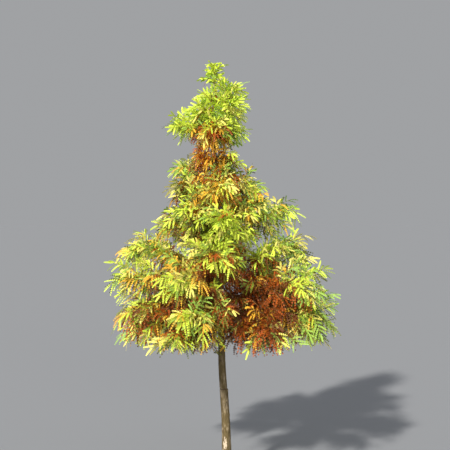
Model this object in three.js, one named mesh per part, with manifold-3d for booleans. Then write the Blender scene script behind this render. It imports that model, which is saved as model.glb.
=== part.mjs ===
// Young cypress tree: a leaning trunk with a root flare, tapering boughs in whorls, and masses of
// needle sprays. Millimetres, +Z up. The origin is the middle of the flat cut at ground level.
import * as THREE from "three";
import { mergeVertices } from "three/addons/utils/BufferGeometryUtils.js";
import Module from "manifold-3d";

const wasm = await Module();
wasm.setup();

// Trunk
const TRUNK_TOP = 2385;
const TAPER_END = 2560;
const TRUNK_RADIUS = 28;
const TAPER_POWER = 0.8;
const FLARE_RADIUS = 12;
const FLARE_HEIGHT = 105;
const FLUTES = 5;
const FLUTE_DEPTH = 0.13;
const LEAN = -72;
const LEAN_HEIGHT = 1850;
const SWAY = 7;
const SWAY_HEIGHT = 820;
const SIDE_SWAY_RATE = 0.7;
const TRUNK_SIDES = 15;
const TRUNK_STEPS = 18;
const TRUNK_STEP_POWER = 1.25;

// Whorls of limbs from the ground up. Height is that of the feet, first is the azimuth of the first
// limb in degrees from +X, bias lengthens the limbs on the +X side, rise and droop bend them, and
// hang is how steeply their sprays drop. The upper whorls have no bough: their masses stand on the
// trunk.
const WHORLS = [
  { height: 820, count: 5, first: 162, reach: 690, bias: 0.02, rise: 0.42, droop: 0.32, hang: 0.45 },
  { height: 905, count: 5, first: 198, reach: 705, bias: 0, rise: 0.5, droop: 0.36, hang: 0.55 },
  { height: 1035, count: 5, first: 188, reach: 695, bias: 0.04, rise: 0.62, droop: 0.36, hang: 0.65 },
  { height: 1200, count: 4, first: 174, reach: 620, bias: -0.05, rise: 0.68, droop: 0.36, hang: 0.6 },
  { height: 1350, count: 4, first: 184, reach: 450, bias: 0.18, rise: 1.0, droop: 0.34, hang: 0.5 },
  { height: 1485, count: 4, first: 145, reach: 385, bias: 0.05, rise: 0.95, droop: 0.38, hang: 0.5 },
  { height: 1620, count: 4, first: 190, reach: 315, bias: 0, rise: 1.0, droop: 0.4, hang: 0.5 },
  { height: 1750, count: 3, first: 160, reach: 255, bias: -0.25, rise: 1.0, droop: 0.42, hang: 0.5 },
  { height: 1880, count: 3, first: 205, reach: 180, bias: -0.1, rise: 1.0, droop: 0.5, hang: 0.6 },
  { height: 2030, count: 4, first: 178, reach: 245, bias: -0.22, rise: 0.8, droop: 0.35, hang: 0.3 },
  { height: 2130, count: 4, first: 225, reach: 215, bias: 0.15, rise: 1.05, droop: 0.35, hang: 0.2 },
  { height: 2240, count: 3, first: 345, reach: 165, bias: 0.35, rise: 1.2, droop: 0.4, hang: 0.1 },
];

// What the lowest whorls add to the rise of their limbs on the -Y side, where the lower edge of the
// crown rises too
const FRONT_LIFTS = [0.12, 0.08, 0.04];
const SKIRT_HEIGHT = 775;
const SKIRT_RISE = 0.13;

const WHORLS_WITH_BOUGHS = 2;
const HEIGHT_JITTER = 20;
const TURN_JITTER = 8;
const REACH_JITTER = 0.05;
const SWEEP = 14;
const LIMB_SEED = 20;
const SEED_PER_WHORL = 100;
const SEED_PER_LIMB = 7;

// The masses that have turned to rust, by whorl and limb
const RUST_MASSES = ["1_4", "2_3", "3_3", "9_1", "9_3"];

// The leader is a mass that stands on the trunk's tip
const LEADER_LENGTH = 106;
const LEADER_TAPER = 0.6;
const LEADER_SPREAD = 56;
const LEADER_BLADE = 56;
const LEADER_SEED = 5;

// Limbs: each is a bough near the trunk, then the stem of its mass
const BOUGH_SHARE = 0.23;
const LIMB_RADIUS_AT_FOOT = 2.1;
const LIMB_RADIUS_PER_REACH = 0.0075;
const LIMB_END_SHARE = 0.3;
const BOUGH_SIDES = 5;
const BOUGH_STEPS = 2;

// Twigs of a mass
const STEM_SIDES = 3;
const STEM_STEPS = 3;
const TWIG_STEPS = 1;
const TWIG_RADIUS = 3.2;
const TWIG_END_RADIUS = 2;
const TWIG_TURN = 137.5;
const TWIG_TURN_JITTER = 20;
const TWIG_FLATNESS = 0.7;
const TWIG_SPLAY = 66;
const TWIG_SPLAY_LOSS = 26;
const TWIG_SAG = 0.16;
const REACH_PER_TWIG = 140;
const FEWEST_TWIGS = 3;
const TWIG_LEAST = 25;
const TWIG_FORKED = 65;
const TWIG_LENGTH_JITTER = 0.12;
const TWIG_LENGTH_TRIES = [1, 0.82, 0.64, 0.48];
const TWIG_TEST_PLACES = [0.35, 0.6, 0.8, 1];
const TWIG_END_BLADE_PLACE = 0.97;
const FIRST_TWIG = 0.06;
const LAST_TWIG = 0.92;

// Outline of a mass: how far its twigs spread, as a stretch of a sine wave from foot to tip
const SPREAD_PER_REACH = 0.33;
const SPREAD_LEAST = 112;
const OUTLINE_START = 0.24;
const OUTLINE_STRETCH = 0.66;
const STEM_TIP_SHARE = 0.8;
const TWIG_TIP_SHARE = 0.7;

// Sprays: each toothed blade stands for a spray of several branchlets. An outline runs up one side
// of a blade, in shares of its length, from the root to the point.
const BLADE_LENGTH_LEAST = 115;
const BLADE_LENGTH_PER_REACH = 0.1;
const ONE_TOOTH = [
  [0.27, 0.56],
  [0.14, 0.5],
];
const TWO_TEETH = [
  [0.26, 0.45],
  [0.14, 0.4],
  [0.21, 0.76],
  [0.08, 0.7],
];
const BLADE_MIDDLE = 0.14;
const BLADE_HALF_THICKNESS = 3;
const BLADE_ROOT_DEPTH = 0.8;
const BLADE_ROLL_LEAST = 28;
const BLADE_ROLL_RANGE = 42;
const BLADE_TRIES = [
  { hang: 1, size: 1 },
  { hang: 0.4, size: 1 },
  { hang: -0.2, size: 1 },
  { hang: 0.7, size: 0.75 },
  { hang: 0, size: 0.75 },
  { hang: 0.3, size: 0.55 },
];
const TWIG_BLADE_PLACE = 0.5;
const TWIG_BLADE_SPLAY = 52;
const TWIG_BLADE_SIZE = 0.85;
const STEM_BLADE_SIZE = 0.9;
const STEM_BLADE_SPLAY = 62;
const STEM_BLADE_TURN = 80;
const END_BLADES = [
  { back: 0.01, splay: 0, size: 1, teeth: TWO_TEETH },
  { back: 0.06, splay: -46, size: 0.85, teeth: ONE_TOOTH },
  { back: 0.03, splay: 46, size: 0.85, teeth: ONE_TOOTH },
];

// Clearances
const GAP = 0.3;
const SPACE_MARGIN = 3;
const LIMB_MARGIN = 3;
const AXIS_POINTS = 16;

const UP = new THREE.Vector3(0, 0, 1);
const DEGREE = Math.PI / 180;
const NEARLY_UPRIGHT = 0.98;
const SLOPE_STEP = 0.01;
const MERGE_DISTANCE = 1e-3;

function seededRandom(seed) {
  let state = Math.imul(seed, 2654435761) >>> 0;
  return () => {
    state = (Math.imul(state, 1664525) + 1013904223) >>> 0;
    return state / 4294967296;
  };
}

function spread(random, amount) {
  return amount * (2 * random() - 1);
}

// Solids from three.js geometry, and back
function toSolid(geometry) {
  geometry.deleteAttribute("normal");
  geometry.deleteAttribute("uv");
  const merged = mergeVertices(geometry, MERGE_DISTANCE);
  return new wasm.Manifold(
    new wasm.Mesh({
      numProp: 3,
      vertProperties: merged.getAttribute("position").array,
      triVerts: new Uint32Array(merged.index.array),
    }),
  );
}

function toGeometry(solid) {
  const mesh = solid.getMesh();
  const geometry = new THREE.BufferGeometry();
  geometry.setAttribute("position", new THREE.BufferAttribute(mesh.vertProperties, 3));
  geometry.setIndex(new THREE.BufferAttribute(mesh.triVerts, 1));
  geometry.computeVertexNormals();
  return geometry;
}

function largestBody(solid) {
  return solid
    .decompose()
    .reduce((best, body) => (body.volume() > best.volume() ? body : best));
}

// A bar bent along a path, flat at both ends
function frameAt(pointAt, t) {
  const along = pointAt(t + SLOPE_STEP).sub(pointAt(t - SLOPE_STEP)).normalize();
  const reference = Math.abs(along.z) > NEARLY_UPRIGHT ? new THREE.Vector3(0, 1, 0) : UP;
  const side = along.clone().cross(reference).normalize();
  const up = side.clone().cross(along);
  return { along, side, up };
}

function bar(pointAt, radiusAt, sides, steps) {
  const geometry = new THREE.CylinderGeometry(1, 1, 1, sides, steps);
  const position = geometry.getAttribute("position");
  for (let i = 0; i < position.count; i += 1) {
    const t = position.getY(i) + 0.5;
    const { side, up } = frameAt(pointAt, t);
    const point = pointAt(t);
    point.addScaledVector(side, position.getX(i) * radiusAt(t));
    point.addScaledVector(up, position.getZ(i) * radiusAt(t));
    position.setXYZ(i, point.x, point.y, point.z);
  }
  return toSolid(geometry);
}

// Trunk
function trunkAxis(height) {
  const bend = 0.5 - 0.5 * Math.cos(Math.PI * Math.min(height / LEAN_HEIGHT, 1));
  const fade = Math.min(height / SWAY_HEIGHT, 1);
  const wave = (2 * Math.PI * height) / SWAY_HEIGHT;
  return new THREE.Vector3(
    LEAN * bend + SWAY * fade * Math.sin(wave),
    SWAY * fade * Math.sin(SIDE_SWAY_RATE * wave),
    height,
  );
}

function trunkRadius(height) {
  const taper = Math.pow(1 - height / TAPER_END, TAPER_POWER);
  return TRUNK_RADIUS * taper + FLARE_RADIUS * Math.exp(-height / FLARE_HEIGHT);
}

function trunkSolid(extra) {
  const geometry = new THREE.CylinderGeometry(1, 1, 1, TRUNK_SIDES, TRUNK_STEPS);
  const position = geometry.getAttribute("position");
  for (let i = 0; i < position.count; i += 1) {
    const x = position.getX(i);
    const y = -position.getZ(i);
    const height = TRUNK_TOP * Math.pow(position.getY(i) + 0.5, TRUNK_STEP_POWER);
    const fluting = FLUTE_DEPTH * Math.exp(-height / FLARE_HEIGHT);
    const flute = 1 + fluting * Math.cos(FLUTES * Math.atan2(y, x));
    const radius = trunkRadius(height) * flute + extra;
    const axis = trunkAxis(height);
    position.setXYZ(i, axis.x + radius * x, axis.y + radius * y, height);
  }
  return toSolid(geometry);
}

// Limbs: each path runs from the trunk's axis to the furthest tip of its mass
function makeLimb(whorl, tier, i, random) {
  const azimuth = whorl.first + (360 * i) / whorl.count + spread(random, TURN_JITTER);
  const side = 1 + whorl.bias * Math.cos(azimuth * DEGREE);
  const reach = whorl.reach * side * (1 + spread(random, REACH_JITTER));
  const foot = trunkAxis(whorl.height + spread(random, HEIGHT_JITTER));
  const sweep = spread(random, SWEEP) * DEGREE;
  const lift = FRONT_LIFTS[tier] ?? 0;
  const rise = whorl.rise + lift * Math.max(-Math.sin(azimuth * DEGREE), 0);
  const radius = LIMB_RADIUS_AT_FOOT + LIMB_RADIUS_PER_REACH * reach;
  const bladeLength = BLADE_LENGTH_LEAST + BLADE_LENGTH_PER_REACH * reach;
  const pointAt = (t) => {
    const angle = azimuth * DEGREE + sweep * t * t;
    return new THREE.Vector3(
      foot.x + Math.cos(angle) * reach * t,
      foot.y + Math.sin(angle) * reach * t,
      foot.z + reach * (rise * t - whorl.droop * t * t),
    );
  };
  return {
    place: `${tier + 1}_${i + 1}`,
    pointAt,
    radiusAt: (t) => radius * (1 - (1 - LIMB_END_SHARE) * t),
    boughEnd: tier < WHORLS_WITH_BOUGHS ? BOUGH_SHARE : 0,
    stemStart: tier < WHORLS_WITH_BOUGHS ? BOUGH_SHARE + GAP / reach : 0,
    stemEnd: 1 - (STEM_TIP_SHARE * bladeLength) / reach,
    twigs: Math.max(Math.round(reach / REACH_PER_TWIG), FEWEST_TWIGS),
    hang: whorl.hang,
    spread: Math.max(SPREAD_PER_REACH * reach, SPREAD_LEAST),
    bladeLength,
    seed: SEED_PER_WHORL * (tier + 1) + SEED_PER_LIMB * i,
  };
}

function makeLeader() {
  const foot = trunkAxis(TRUNK_TOP + GAP);
  return {
    place: "leader",
    pointAt: (t) => foot.clone().addScaledVector(UP, LEADER_LENGTH * t),
    radiusAt: (t) => trunkRadius(TRUNK_TOP) * (1 - LEADER_TAPER * t),
    boughEnd: 0,
    stemStart: 0,
    stemEnd: 1,
    twigs: FEWEST_TWIGS,
    hang: 0,
    spread: LEADER_SPREAD,
    bladeLength: LEADER_BLADE,
    seed: LEADER_SEED,
    standsOnTip: true,
  };
}

function makeLimbs() {
  const random = seededRandom(LIMB_SEED);
  const limbs = WHORLS.flatMap((whorl, tier) =>
    Array.from({ length: whorl.count }, (_, i) => makeLimb(whorl, tier, i, random)),
  );
  limbs.push(makeLeader());
  return limbs;
}

// Space: a point belongs to the limb whose path is nearest
function axisLines(limb) {
  const lines = [];
  for (let i = 0; i < AXIS_POINTS; i += 1) {
    const from = limb.pointAt(i / AXIS_POINTS);
    const to = limb.pointAt((i + 1) / AXIS_POINTS);
    lines.push(new THREE.Line3(from, to));
  }
  return lines;
}

function distanceTo(lines, point) {
  const nearest = new THREE.Vector3();
  let least = Infinity;
  for (const line of lines) {
    line.closestPointToPoint(point, true, nearest);
    least = Math.min(least, nearest.distanceTo(point));
  }
  return least;
}

function trunkDistance(point) {
  const height = Math.min(point.z, TRUNK_TOP);
  return trunkAxis(height).distanceTo(point) - trunkRadius(Math.max(height, 0));
}

// The height of the crown's lower edge over or under a point
function skirtHeight(point) {
  return SKIRT_HEIGHT + SKIRT_RISE * Math.max(-point.y, 0);
}

function makeSpaces(limbs) {
  const all = limbs.map(axisLines);
  const boughLines = limbs.map((limb, i) => all[i].slice(0, Math.ceil(limb.boughEnd * AXIS_POINTS)));
  return limbs.map((limb, own) => (point, thickness) => {
    if (point.z < skirtHeight(point) + thickness) return false;
    if (trunkDistance(point) < thickness + LIMB_MARGIN) return false;
    const near = distanceTo(all[own], point);
    const room = near + 2 * (thickness + SPACE_MARGIN);
    if (all.some((lines, i) => i !== own && distanceTo(lines, point) < room)) return false;
    const bough = distanceTo(boughLines[own], point) - limb.radiusAt(0);
    return bough > thickness + LIMB_MARGIN;
  });
}

// Sprays: a blade is its outline, thickest in the middle and sharp at its edges
function bladeGeometry(length, teeth) {
  const right = teeth.map(([x, y]) => [x, y]);
  const left = teeth.map(([x, y]) => [-x, y]).reverse();
  const outline = [[0, 0], ...right, [0, 1], ...left];
  const points = outline.flatMap(([x, y]) => [x * length, y * length, 0]);
  const top = outline.length;
  const bottom = top + 1;
  points.push(0, BLADE_MIDDLE * length, BLADE_HALF_THICKNESS);
  points.push(0, BLADE_MIDDLE * length, -BLADE_HALF_THICKNESS);
  const triangles = outline.flatMap((_, i) => {
    const next = (i + 1) % outline.length;
    return [top, i, next, bottom, next, i];
  });
  const geometry = new THREE.BufferGeometry();
  geometry.setAttribute("position", new THREE.Float32BufferAttribute(points, 3));
  geometry.setIndex(triangles);
  return geometry;
}

// A blade that grows from a point, or null where it would leave its space
function placeBlade(base, along, roll, length, teeth, inSpace) {
  const side = along.clone().cross(UP).normalize().applyAxisAngle(along, roll);
  const face = side.clone().cross(along);
  const placed = new THREE.Matrix4().makeBasis(side, along, face);
  placed.setPosition(base.clone().addScaledVector(along, -BLADE_ROOT_DEPTH));
  const geometry = bladeGeometry(length, teeth).applyMatrix4(placed);
  const position = geometry.getAttribute("position");
  const corner = new THREE.Vector3();
  for (let i = 1; i < position.count; i += 1) {
    corner.fromBufferAttribute(position, i);
    if (!inSpace(corner, 0)) return null;
  }
  return toSolid(geometry);
}

// The first of a few blades, from steep and long to short, that keeps to its space
function addBlade(mass, base, heading, size, teeth) {
  const { pieces, limb, random, inSpace } = mass;
  const turned = random() < 0.5 ? -1 : 1;
  const roll = turned * (BLADE_ROLL_LEAST + BLADE_ROLL_RANGE * random()) * DEGREE;
  for (const trial of BLADE_TRIES) {
    const along = heading.clone();
    along.z -= trial.hang * limb.hang;
    along.normalize();
    const length = trial.size * size * limb.bladeLength;
    const blade = placeBlade(base, along, roll, length, teeth, inSpace);
    if (blade) {
      pieces.push(blade);
      return;
    }
  }
}

// Masses: a stem, twigs that leave it at a constant turn, and blades on both
function twigOutline(share) {
  return Math.sin(Math.PI * (OUTLINE_START + OUTLINE_STRETCH * share));
}

function twigPath(base, direction, length) {
  return (t) => {
    const point = base.clone().addScaledVector(direction, length * t);
    point.z -= TWIG_SAG * length * t * t;
    return point;
  };
}

// A direction that leaves a path at an angle, turned about it
function headingFrom(pointAt, t, turn, splay) {
  const { along, side, up } = frameAt(pointAt, t);
  const sideways = side.multiplyScalar(Math.cos(turn * DEGREE));
  sideways.addScaledVector(up, TWIG_FLATNESS * Math.sin(turn * DEGREE)).normalize();
  sideways.multiplyScalar(Math.sin(splay * DEGREE));
  return sideways.addScaledVector(along, Math.cos(splay * DEGREE));
}

// The longest of a few twigs that keeps to its space, or null
function twigThatFits(mass, base, heading, full) {
  const { limb, inSpace } = mass;
  for (const trial of TWIG_LENGTH_TRIES) {
    const length = full * trial - TWIG_TIP_SHARE * limb.bladeLength;
    if (length < TWIG_LEAST) return null;
    const path = twigPath(base, heading, length);
    if (TWIG_TEST_PLACES.every((t) => inSpace(path(t), TWIG_RADIUS))) return { path, length };
  }
  return null;
}

function addTwig(mass, i) {
  const { pieces, limb, stemAt, random } = mass;
  const share = (i + 0.5) / limb.twigs;
  const t = FIRST_TWIG + (LAST_TWIG - FIRST_TWIG) * share;
  const turn = TWIG_TURN * i + limb.seed + spread(random, TWIG_TURN_JITTER);
  const heading = headingFrom(stemAt, t, turn, TWIG_SPLAY - TWIG_SPLAY_LOSS * share);
  const full = limb.spread * twigOutline(share) * (1 + spread(random, TWIG_LENGTH_JITTER));
  const twig = twigThatFits(mass, stemAt(t), heading, full);
  if (!twig) {
    addBlade(mass, stemAt(t), heading, 1, ONE_TOOTH);
    return;
  }
  const radiusAt = (step) => TWIG_RADIUS + (TWIG_END_RADIUS - TWIG_RADIUS) * step;
  pieces.push(bar(twig.path, radiusAt, STEM_SIDES, TWIG_STEPS));
  addBlade(mass, twig.path(TWIG_END_BLADE_PLACE), frameAt(twig.path, 1).along, 1, ONE_TOOTH);
  if (twig.length < TWIG_FORKED) return;
  const splay = i % 2 ? TWIG_BLADE_SPLAY : -TWIG_BLADE_SPLAY;
  const lateral = headingFrom(twig.path, TWIG_BLADE_PLACE, 0, splay);
  addBlade(mass, twig.path(TWIG_BLADE_PLACE), lateral, TWIG_BLADE_SIZE, ONE_TOOTH);
}

// A blade on the stem, between two twigs
function addStemBlade(mass, i) {
  const { limb, stemAt } = mass;
  const t = FIRST_TWIG + ((LAST_TWIG - FIRST_TWIG) * i) / limb.twigs;
  const turn = TWIG_TURN * i + limb.seed + STEM_BLADE_TURN;
  addBlade(mass, stemAt(t), headingFrom(stemAt, t, turn, STEM_BLADE_SPLAY), STEM_BLADE_SIZE, ONE_TOOTH);
}

function massSolid(limb, inSpace, trunkCut) {
  const stemAt = (t) => limb.pointAt(limb.stemStart + (limb.stemEnd - limb.stemStart) * t);
  const stemRadius = (t) => limb.radiusAt(limb.stemStart + (limb.stemEnd - limb.stemStart) * t);
  const pieces = [bar(stemAt, stemRadius, STEM_SIDES, STEM_STEPS)];
  const mass = { pieces, limb, stemAt, random: seededRandom(limb.seed), inSpace };
  for (let i = 0; i < limb.twigs; i += 1) addTwig(mass, i);
  for (let i = 1; i < limb.twigs; i += 1) addStemBlade(mass, i);
  for (const { back, splay, size, teeth } of END_BLADES) {
    addBlade(mass, stemAt(1 - back), headingFrom(stemAt, 1, 0, splay), size, teeth);
  }
  const fused = wasm.Manifold.union(pieces);
  const onTrunk = limb.boughEnd === 0 && !limb.standsOnTip;
  return largestBody(onTrunk ? fused.subtract(trunkCut) : fused);
}

function boughSolid(limb, trunkCut) {
  const boughAt = (t) => limb.pointAt(limb.boughEnd * t);
  const boughRadius = (t) => limb.radiusAt(limb.boughEnd * t);
  const bough = bar(boughAt, boughRadius, BOUGH_SIDES, BOUGH_STEPS);
  return largestBody(bough.subtract(trunkCut));
}

// The whole tree
const BARK = new THREE.MeshStandardMaterial({ color: 0x7d6a58, roughness: 0.9, metalness: 0 });
const YOUNG_BARK = new THREE.MeshStandardMaterial({ color: 0x8a5f42, roughness: 0.85, metalness: 0 });
const GREEN = new THREE.MeshStandardMaterial({ color: 0x9db32f, roughness: 0.7, metalness: 0 });
const RUST = new THREE.MeshStandardMaterial({ color: 0xa85a22, roughness: 0.8, metalness: 0 });

function namedMesh(name, solid, material) {
  const mesh = new THREE.Mesh(toGeometry(solid), material);
  mesh.name = name;
  return mesh;
}

function buildTree() {
  const tree = new THREE.Group();
  tree.add(namedMesh("trunk", trunkSolid(0), BARK));
  const trunkCut = trunkSolid(GAP);
  const limbs = makeLimbs();
  const spaces = makeSpaces(limbs);
  limbs.forEach((limb, i) => {
    if (limb.boughEnd > 0) {
      tree.add(namedMesh(`bough_${limb.place}`, boughSolid(limb, trunkCut), YOUNG_BARK));
    }
    const mass = massSolid(limb, spaces[i], trunkCut);
    const foliage = RUST_MASSES.includes(limb.place) ? RUST : GREEN;
    tree.add(namedMesh(`sprays_${limb.place}`, mass, foliage));
  });
  return tree;
}

export default buildTree();
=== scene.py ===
"""A young cypress tree with feathery needle sprays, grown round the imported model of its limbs.

The limbs, twigs and sprays follow the seeded rule of the part's source, in metres. They are then carried
on to finer twigs, to strands and to single needles.
"""

import functools
import math
from dataclasses import dataclass, field
from typing import Callable

import bpy
import numpy as np
from bpy.props import FloatProperty, FloatVectorProperty, IntProperty, PointerProperty
from bpy.types import Operator, Panel, PropertyGroup
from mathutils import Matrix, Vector, noise


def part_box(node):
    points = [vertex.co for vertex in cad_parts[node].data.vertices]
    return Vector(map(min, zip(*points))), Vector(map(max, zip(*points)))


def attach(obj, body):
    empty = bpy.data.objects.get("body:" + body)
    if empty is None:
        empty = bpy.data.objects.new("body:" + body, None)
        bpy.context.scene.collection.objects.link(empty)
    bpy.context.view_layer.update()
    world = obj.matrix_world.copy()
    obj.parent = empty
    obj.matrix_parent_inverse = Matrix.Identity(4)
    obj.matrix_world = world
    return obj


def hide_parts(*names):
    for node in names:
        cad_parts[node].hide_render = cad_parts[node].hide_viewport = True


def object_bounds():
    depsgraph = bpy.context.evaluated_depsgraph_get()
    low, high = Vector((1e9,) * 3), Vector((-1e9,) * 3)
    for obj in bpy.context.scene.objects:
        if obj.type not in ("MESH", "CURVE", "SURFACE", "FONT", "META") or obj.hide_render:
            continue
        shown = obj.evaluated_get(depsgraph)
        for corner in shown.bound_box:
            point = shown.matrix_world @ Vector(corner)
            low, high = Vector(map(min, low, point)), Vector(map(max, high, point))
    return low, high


bl_info = {
    "name": "Young Cypress Tree",
    "version": (1, 0, 0),
    "blender": (4, 5, 0),
    "location": "View3D > Sidebar > Cypress",
    "description": "Grows a young cypress with bark relief and needle sprays",
    "category": "Add Mesh",
}

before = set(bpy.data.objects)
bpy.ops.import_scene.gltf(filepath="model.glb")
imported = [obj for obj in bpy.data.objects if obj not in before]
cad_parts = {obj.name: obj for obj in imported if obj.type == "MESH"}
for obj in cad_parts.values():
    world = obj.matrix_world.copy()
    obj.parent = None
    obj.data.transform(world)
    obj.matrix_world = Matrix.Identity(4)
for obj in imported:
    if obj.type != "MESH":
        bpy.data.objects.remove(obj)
CAD_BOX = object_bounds()
ROOT = "root"

# Trunk, as in the part's source
TRUNK_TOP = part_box("trunk")[1].z
TAPER_END = 2.56
TRUNK_RADIUS = 0.028
TAPER_POWER = 0.8
FLARE_RADIUS = 0.012
FLARE_HEIGHT = 0.105
FLUTES = 5
FLUTE_DEPTH = 0.13
LEAN = -0.072
LEAN_HEIGHT = 1.85
SWAY = 0.007
SWAY_HEIGHT = 0.82
SIDE_SWAY_RATE = 0.7


@dataclass
class Whorl:
    """A ring of limbs. Bias lengthens those on the +X side, and hang is how steeply the sprays drop."""

    height: float
    count: int
    first_turn: float
    reach: float
    bias: float
    rise: float
    droop: float
    hang: float


WHORLS = [
    Whorl(0.82, 5, 162, 0.69, 0.02, 0.42, 0.32, 0.45),
    Whorl(0.905, 5, 198, 0.705, 0.0, 0.5, 0.36, 0.55),
    Whorl(1.035, 5, 188, 0.695, 0.04, 0.62, 0.36, 0.65),
    Whorl(1.2, 4, 174, 0.62, -0.05, 0.68, 0.36, 0.6),
    Whorl(1.35, 4, 184, 0.45, 0.18, 1.0, 0.34, 0.5),
    Whorl(1.485, 4, 145, 0.385, 0.05, 0.95, 0.38, 0.5),
    Whorl(1.62, 4, 190, 0.315, 0.0, 1.0, 0.4, 0.5),
    Whorl(1.75, 3, 160, 0.255, -0.25, 1.0, 0.42, 0.5),
    Whorl(1.88, 3, 205, 0.18, -0.1, 1.0, 0.5, 0.6),
    Whorl(2.03, 4, 178, 0.245, -0.22, 0.8, 0.35, 0.3),
    Whorl(2.13, 4, 225, 0.215, 0.15, 1.05, 0.35, 0.2),
    Whorl(2.24, 3, 345, 0.165, 0.35, 1.2, 0.4, 0.1),
]
FRONT_LIFTS = [0.12, 0.08, 0.04]
SKIRT_HEIGHT = 0.775
SKIRT_RISE = 0.13
WHORLS_WITH_BOUGHS = 2
HEIGHT_JITTER = 0.02
TURN_JITTER = 8
REACH_JITTER = 0.05
SWEEP = 14
LIMB_SEED = 20
SEED_PER_WHORL = 100
SEED_PER_LIMB = 7
LEADER_LENGTH = 0.106
LEADER_TAPER = 0.6
LEADER_SPREAD = 0.056
LEADER_SPRAY = 0.056
LEADER_SEED = 5

# Limbs and twigs, as in the part's source
BOUGH_SHARE = 0.23
LIMB_RADIUS_AT_FOOT = 0.0021
LIMB_RADIUS_PER_REACH = 0.0075
LIMB_END_SHARE = 0.3
TWIG_RADIUS = 0.0032
TWIG_END_RADIUS = 0.002
TWIG_TURN = 137.5
TWIG_TURN_JITTER = 20
TWIG_FLATNESS = 0.7
TWIG_SPLAY = 66
TWIG_SPLAY_LOSS = 26
TWIG_SAG = 0.16
REACH_PER_TWIG = 0.14
FEWEST_TWIGS = 3
TWIG_LEAST = 0.025
TWIG_FORKED = 0.065
TWIG_LENGTH_JITTER = 0.12
TWIG_LENGTH_TRIES = [1, 0.82, 0.64, 0.48]
TWIG_TEST_PLACES = [0.35, 0.6, 0.8, 1]
TWIG_END_SPRAY_PLACE = 0.97
FIRST_TWIG = 0.06
LAST_TWIG = 0.92
SPREAD_PER_REACH = 0.33
SPREAD_LEAST = 0.112
OUTLINE_START = 0.24
OUTLINE_STRETCH = 0.66
STEM_TIP_SHARE = 0.8
TWIG_TIP_SHARE = 0.7

# Sprays, as in the part's source: each fills the outline of a toothed blade, in shares of its length
SPRAY_LENGTH_LEAST = 0.115
SPRAY_LENGTH_PER_REACH = 0.1
ONE_TOOTH = [(0.27, 0.56), (0.14, 0.5)]
TWO_TEETH = [(0.26, 0.45), (0.14, 0.4), (0.21, 0.76), (0.08, 0.7)]
SPRAY_MIDDLE = 0.14
SPRAY_HALF_THICKNESS = 0.003
SPRAY_ROOT_DEPTH = 0.0008
SPRAY_ROLL_LEAST = 28
SPRAY_ROLL_RANGE = 42
SPRAY_TRIES = [(1, 1), (0.4, 1), (-0.2, 1), (0.7, 0.75), (0, 0.75), (0.3, 0.55)]
TWIG_SPRAY_PLACE = 0.5
TWIG_SPRAY_SPLAY = 52
TWIG_SPRAY_SIZE = 0.85
STEM_SPRAY_SIZE = 0.9
STEM_SPRAY_SPLAY = 62
STEM_SPRAY_TURN = 80
END_SPRAYS = [(0.01, 0, 1, TWO_TEETH), (0.06, -46, 0.85, ONE_TOOTH), (0.03, 46, 0.85, ONE_TOOTH)]

# Clearances, as in the part's source
GAP = 0.0003
SPACE_MARGIN = 0.003
LIMB_MARGIN = 0.003
AXIS_POINTS = 16

# The stream of random numbers, as in the part's source
SEED_FACTOR = 2654435761
DRAW_FACTOR = 1664525
DRAW_STEP = 1013904223
DRAW_RANGE = 2**32

UP = np.array([0.0, 0.0, 1.0])
NEARLY_UPRIGHT = 0.98
SLOPE_STEP = 0.01


# Sums
def unit(vectors):
    return vectors / np.linalg.norm(vectors, axis=-1, keepdims=True)


def dot(a, b):
    return (a * b).sum(-1, keepdims=True)


def mix(a, b, share):
    return a + (b - a) * share


def jitter(random, amount, size=None):
    """Random numbers between -amount and amount, for what the part's source doesn't have."""
    return random.uniform(-amount, amount, size)


class Draws:
    """The stream of random numbers that the part's source draws from."""

    def __init__(self, seed):
        self.state = seed * SEED_FACTOR % DRAW_RANGE

    def draw(self):
        self.state = (self.state * DRAW_FACTOR + DRAW_STEP) % DRAW_RANGE
        return self.state / DRAW_RANGE

    def spread(self, amount):
        return amount * (2 * self.draw() - 1)


# The rule of the limbs
def trunk_axis(height):
    """Points on the leaning, gently swaying axis of the trunk."""
    height = np.asarray(height, float)
    bend = 0.5 - 0.5 * np.cos(np.pi * np.minimum(height / LEAN_HEIGHT, 1))
    fade = np.minimum(height / SWAY_HEIGHT, 1)
    wave = 2 * np.pi * height / SWAY_HEIGHT
    across = LEAN * bend + SWAY * fade * np.sin(wave)
    away = SWAY * fade * np.sin(SIDE_SWAY_RATE * wave)
    return np.stack([across, away, height], axis=-1)


def trunk_radius(height):
    taper = (1 - height / TAPER_END) ** TAPER_POWER
    return TRUNK_RADIUS * taper + FLARE_RADIUS * np.exp(-height / FLARE_HEIGHT)


def frames_along(path, t):
    """Directions along a path, to its side and up from it."""
    t = np.asarray(t, float)
    along = unit(path(t + SLOPE_STEP) - path(t - SLOPE_STEP))
    upright = np.abs(along[..., 2:]) > NEARLY_UPRIGHT
    side = unit(np.cross(along, np.where(upright, [0.0, 1.0, 0.0], UP)))
    return along, side, np.cross(side, along)


@dataclass
class Limb:
    """One limb: its path runs from the trunk's axis to the furthest tip of its mass."""

    path: Callable
    reach: float
    foot_radius: float
    taper: float
    bough_end: float
    stem_start: float
    stem_end: float
    twigs: int
    hang: float
    spread: float
    spray: float
    seed: int
    leader: bool = False

    def radius(self, t):
        return self.foot_radius * (1 - self.taper * np.asarray(t, float))

    def stem(self, t):
        return self.path(mix(self.stem_start, self.stem_end, np.asarray(t, float)))

    def stem_length(self):
        return self.reach * (self.stem_end - self.stem_start)


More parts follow.
